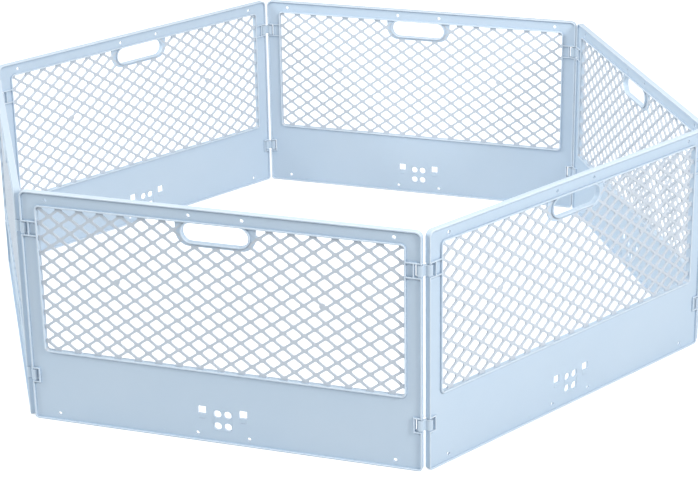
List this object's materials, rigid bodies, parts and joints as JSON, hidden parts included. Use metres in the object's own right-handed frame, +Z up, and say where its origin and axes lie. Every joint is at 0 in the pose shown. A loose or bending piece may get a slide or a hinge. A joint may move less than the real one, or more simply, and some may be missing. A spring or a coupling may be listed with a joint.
{
  "type": "chick pen",
  "caption": "Low folding pen for chicks: a ring of identical moulded lattice panels with hand slots, joined at the corners by push-fit hinge clips.",
  "frame": {"origin": "middle of the ring of panels, on the ground", "axes": "+Z up; -Y towards the outside of the front panel, which is the panel nearest the picture's lower left; +X to the right along that panel, corner to corner of the ring"},
  "size_m": [1.2206, 1.064, 0.364],
  "materials": {
    "panel_plastic": "satin moulded",
    "clip_plastic": "satin moulded"
  },
  "bodies": {
    "front_panel": {"panel_front": "panel_plastic"},
    "right_front_panel": {"panel_right_front": "panel_plastic"},
    "right_back_panel": {"panel_right_back": "panel_plastic"},
    "back_panel": {"panel_back": "panel_plastic"},
    "left_back_panel": {"panel_left_back": "panel_plastic"},
    "left_front_panel": {"panel_left_front": "panel_plastic"},
    "front_right_clips": {"clip_upper_front_right": "clip_plastic", "clip_lower_front_right": "clip_plastic"},
    "right_clips": {"clip_upper_right": "clip_plastic", "clip_lower_right": "clip_plastic"},
    "back_right_clips": {"clip_upper_back_right": "clip_plastic", "clip_lower_back_right": "clip_plastic"},
    "back_left_clips": {"clip_upper_back_left": "clip_plastic", "clip_lower_back_left": "clip_plastic"},
    "left_clips": {"clip_upper_left": "clip_plastic", "clip_lower_left": "clip_plastic"},
    "front_left_clips": {"clip_upper_front_left": "clip_plastic", "clip_lower_front_left": "clip_plastic"}
  },
  "joints": [
    {"name": "front_right_clips_on_front", "type": "hinge", "parent": "front_panel", "child": "front_right_clips", "pos_m": [0.2965, -0.52655, 0.1885], "axis": [0, 0, 1], "range_deg": [-30, 15]},
    {"name": "right_front_on_front_right_clips", "type": "hinge", "parent": "front_right_clips", "child": "right_front_panel", "pos_m": [0.30776, -0.52005, 0.1885], "axis": [0, 0, 1], "range_deg": [-30, 15]},
    {"name": "right_clips_on_right_front", "type": "hinge", "parent": "right_front_panel", "child": "right_clips", "pos_m": [0.60426, -0.0065, 0.1885], "axis": [0, 0, 1], "range_deg": [-30, 60]},
    {"name": "right_back_on_right_clips", "type": "hinge", "parent": "right_clips", "child": "right_back_panel", "pos_m": [0.60426, 0.0065, 0.1885], "axis": [0, 0, 1], "range_deg": [-30, 60]},
    {"name": "back_right_clips_on_right_back", "type": "hinge", "parent": "right_back_panel", "child": "back_right_clips", "pos_m": [0.30776, 0.52005, 0.1885], "axis": [0, 0, 1], "range_deg": [-30, 15]},
    {"name": "back_on_back_right_clips", "type": "hinge", "parent": "back_right_clips", "child": "back_panel", "pos_m": [0.2965, 0.52655, 0.1885], "axis": [0, 0, 1], "range_deg": [-30, 15]},
    {"name": "back_left_clips_on_back", "type": "hinge", "parent": "back_panel", "child": "back_left_clips", "pos_m": [-0.2965, 0.52655, 0.1885], "axis": [0, 0, 1], "range_deg": [-30, 15]},
    {"name": "front_left_clips_on_front", "type": "hinge", "parent": "front_panel", "child": "front_left_clips", "pos_m": [-0.2965, -0.52655, 0.1885], "axis": [0, 0, 1], "range_deg": [-15, 30]},
    {"name": "left_front_on_front_left_clips", "type": "hinge", "parent": "front_left_clips", "child": "left_front_panel", "pos_m": [-0.30776, -0.52005, 0.1885], "axis": [0, 0, 1], "range_deg": [-15, 30]},
    {"name": "fold", "type": "hinge", "parent": "left_front_panel", "child": "left_clips", "pos_m": [-0.60426, -0.0065, 0.1885], "axis": [0, 0, 1], "range_deg": [-60, 30]},
    {"name": "left_back_on_left_clips", "type": "hinge", "parent": "left_clips", "child": "left_back_panel", "pos_m": [-0.60426, 0.0065, 0.1885], "axis": [0, 0, 1], "range_deg": [-60, 30]}
  ],
  "couplings": [
    {"joint": "front_right_clips_on_front", "follows": "fold", "ratio": 0.5},
    {"joint": "right_front_on_front_right_clips", "follows": "fold", "ratio": 0.5},
    {"joint": "right_clips_on_right_front", "follows": "fold", "ratio": -1},
    {"joint": "right_back_on_right_clips", "follows": "fold", "ratio": -1},
    {"joint": "back_right_clips_on_right_back", "follows": "fold", "ratio": 0.5},
    {"joint": "back_on_back_right_clips", "follows": "fold", "ratio": 0.5},
    {"joint": "back_left_clips_on_back", "follows": "fold", "ratio": 0.5},
    {"joint": "front_left_clips_on_front", "follows": "fold", "ratio": -0.5},
    {"joint": "left_front_on_front_left_clips", "follows": "fold", "ratio": -0.5},
    {"joint": "left_back_on_left_clips", "follows": "fold", "ratio": 1}
  ]
}
